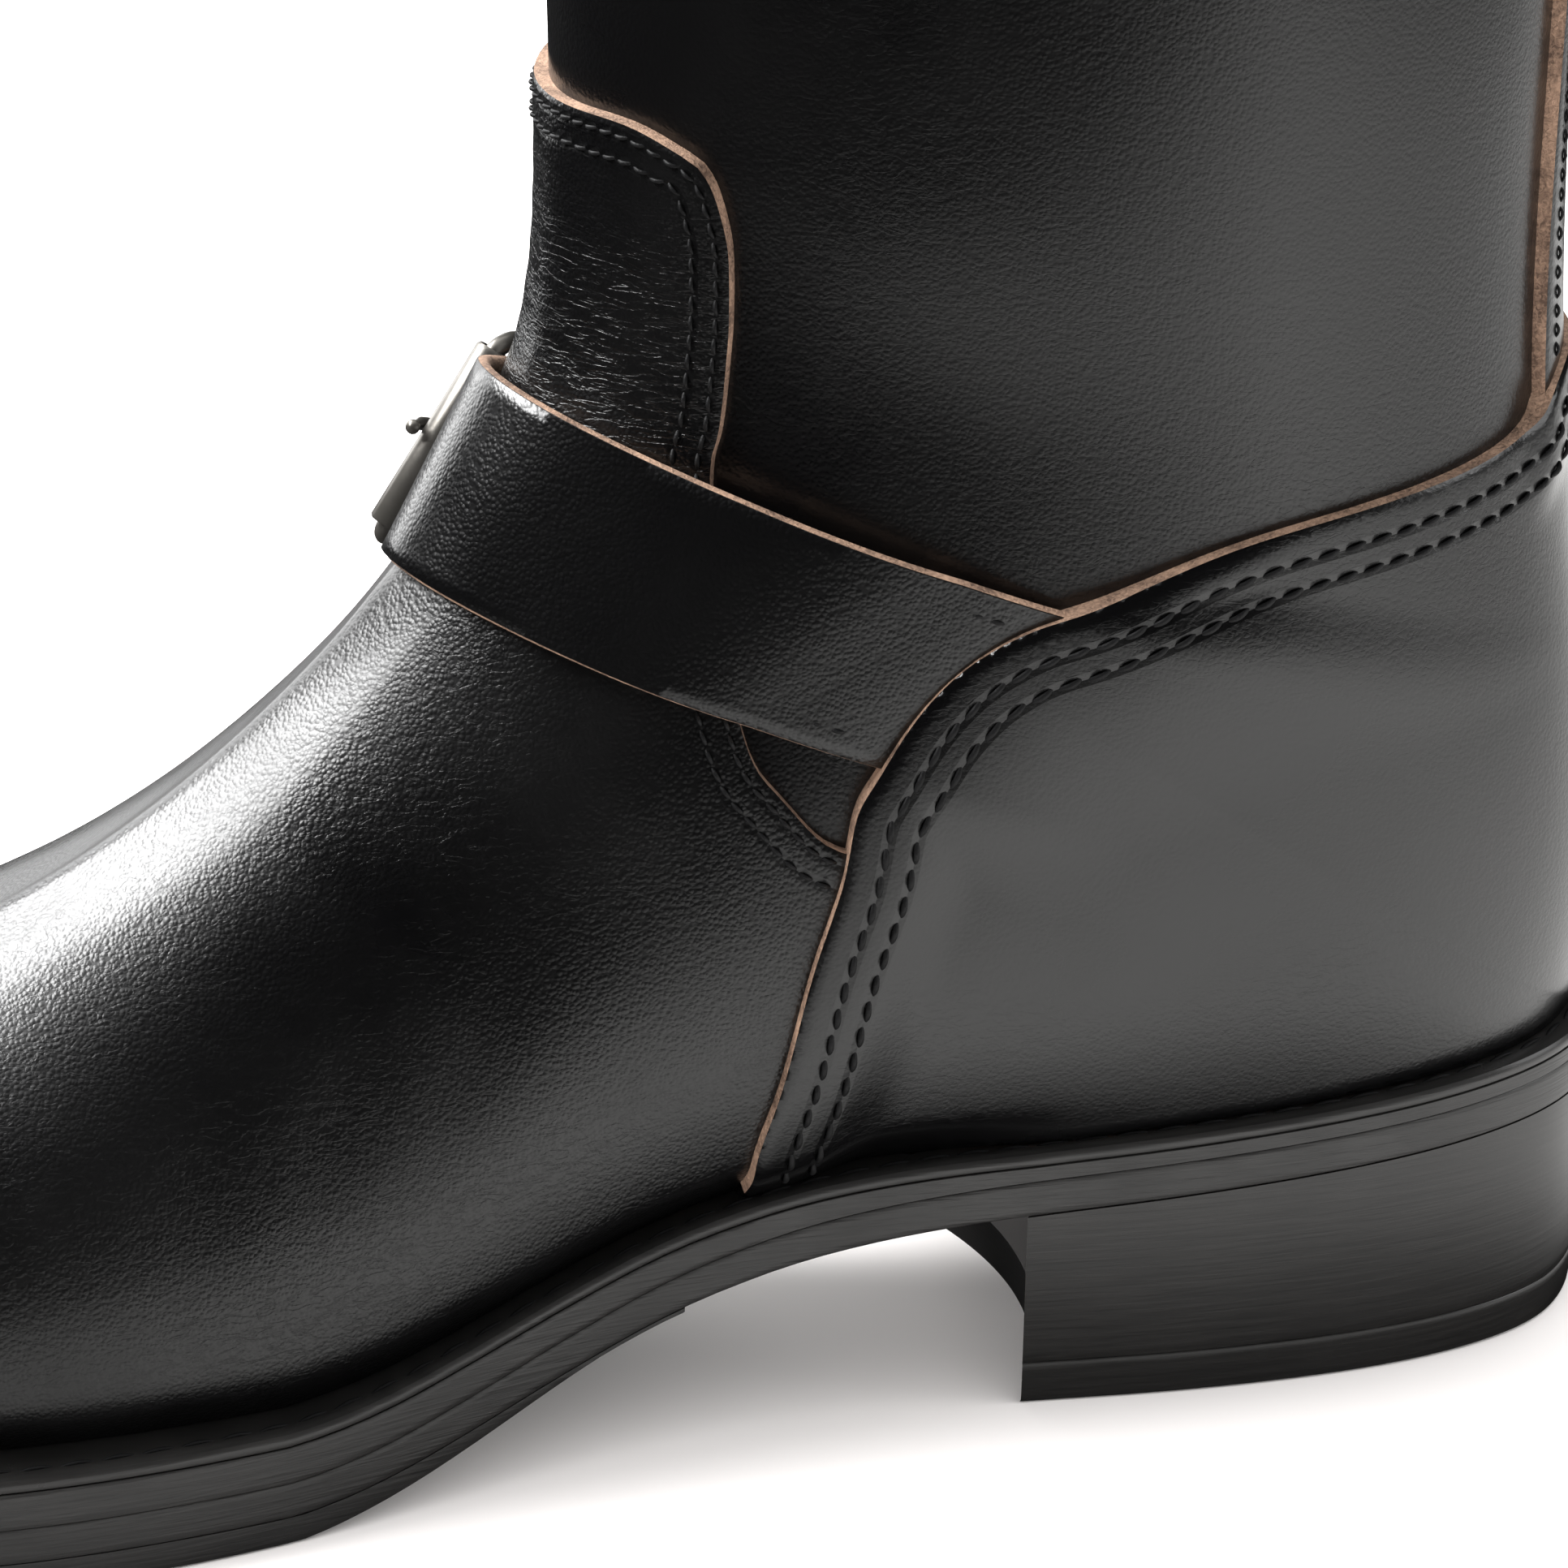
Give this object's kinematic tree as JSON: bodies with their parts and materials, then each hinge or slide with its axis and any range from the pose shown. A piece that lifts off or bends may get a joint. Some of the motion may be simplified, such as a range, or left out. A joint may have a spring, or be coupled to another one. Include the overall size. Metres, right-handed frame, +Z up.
{
  "type": "engineer boot",
  "caption": "Pull-on leather engineer boot for the right foot with a buckled instep strap, a welted leather sole and a stacked heel.",
  "frame": {"origin": "middle of the heel's face on the floor", "axes": "+Z up through the shaft, -Y from heel to toe, +X to the inner side of the foot"},
  "size_m": [0.1009, 0.302, 0.2902],
  "materials": {
    "upper": "smooth black leather, semi-gloss",
    "vamp": "smooth black leather, semi-gloss, raw tan cut edges",
    "counter": "smooth black leather, semi-gloss, raw tan cut edges",
    "back_stay": "smooth black leather, semi-gloss, raw tan cut edges",
    "instep_strap": "black leather with a fine grain, semi-gloss",
    "buckle_strap": "black leather with a fine grain, semi-gloss",
    "strap_keeper": "black leather, tan inside",
    "buckle_frame": "satin nickel plate",
    "buckle_roller": "satin nickel plate",
    "buckle_prong": "satin nickel plate",
    "welt": "black edge-dressed leather, slightly worn",
    "midsole": "black edge-dressed leather",
    "outsole": "black edge-dressed leather",
    "half_sole": "matte black, thinned under the waist",
    "heel_stack": "black edge-dressed stacked leather, smooth",
    "top_lift": "matte black",
    "insole": "plain tan leather board"
  },
  "bodies": {
    "root": {"upper": "upper", "vamp": "vamp", "counter": "counter", "back_stay": "back_stay", "instep_strap": "instep_strap", "buckle_strap": "buckle_strap", "strap_keeper": "strap_keeper", "buckle_frame": "buckle_frame", "buckle_roller": "buckle_roller", "buckle_prong": "buckle_prong", "welt": "welt", "midsole": "midsole", "outsole": "outsole", "half_sole": "half_sole", "heel_stack": "heel_stack", "top_lift": "top_lift", "insole": "insole"}
  },
  "joints": []
}
